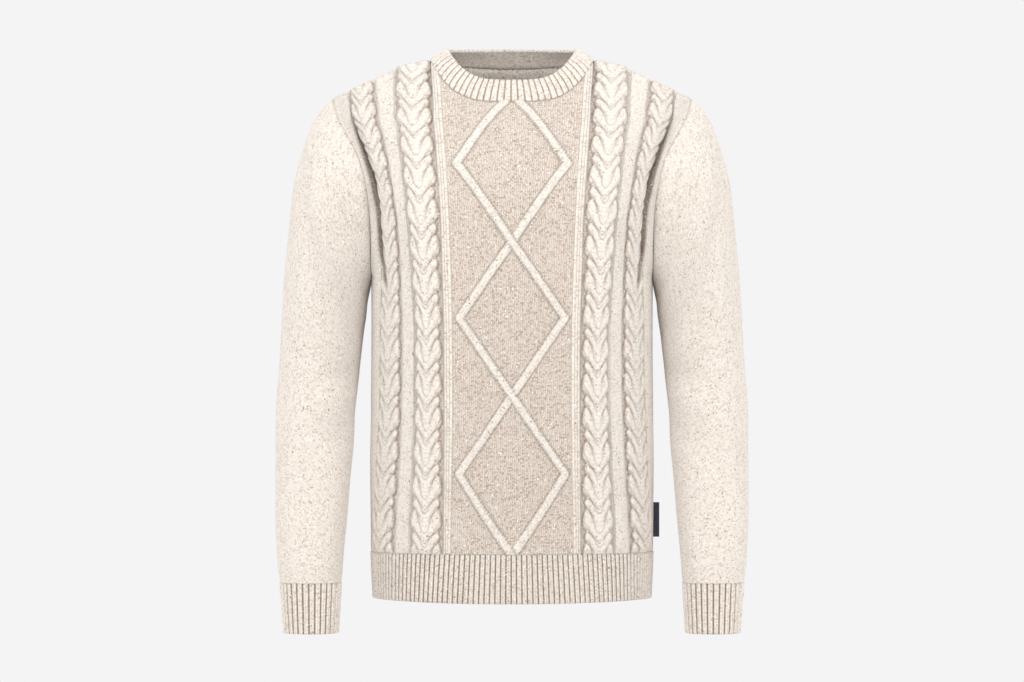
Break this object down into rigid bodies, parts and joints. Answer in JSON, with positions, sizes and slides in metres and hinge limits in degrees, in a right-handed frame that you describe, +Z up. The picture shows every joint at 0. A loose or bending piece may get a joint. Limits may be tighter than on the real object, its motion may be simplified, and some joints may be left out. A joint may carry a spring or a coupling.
{
  "type": "cable-knit sweater",
  "caption": "Crew-neck knitted sweater in its worn, hollow form, with cables and diamonds on the front, long sleeves and ribbed edges.",
  "frame": {"origin": "middle of the neck at the height of the shoulders' high points, where the wearer's shoulders hold the sweater", "axes": "+Z up towards the neck, -Y out of the patterned front, +X towards the wearer's left"},
  "size_m": [0.5882, 0.253, 0.7313],
  "materials": {
    "oat_yarn": "flecked wool-blend knit, matt",
    "label_ribbon": "woven ribbon, plain"
  },
  "bodies": {
    "root": {"front_panel": "oat_yarn", "back_panel": "oat_yarn", "sleeve_left": "oat_yarn", "sleeve_right": "oat_yarn", "neck_rib": "oat_yarn", "hem_rib_front": "oat_yarn", "hem_rib_back": "oat_yarn", "cuff_left": "oat_yarn", "cuff_right": "oat_yarn", "side_label": "label_ribbon"}
  },
  "joints": []
}
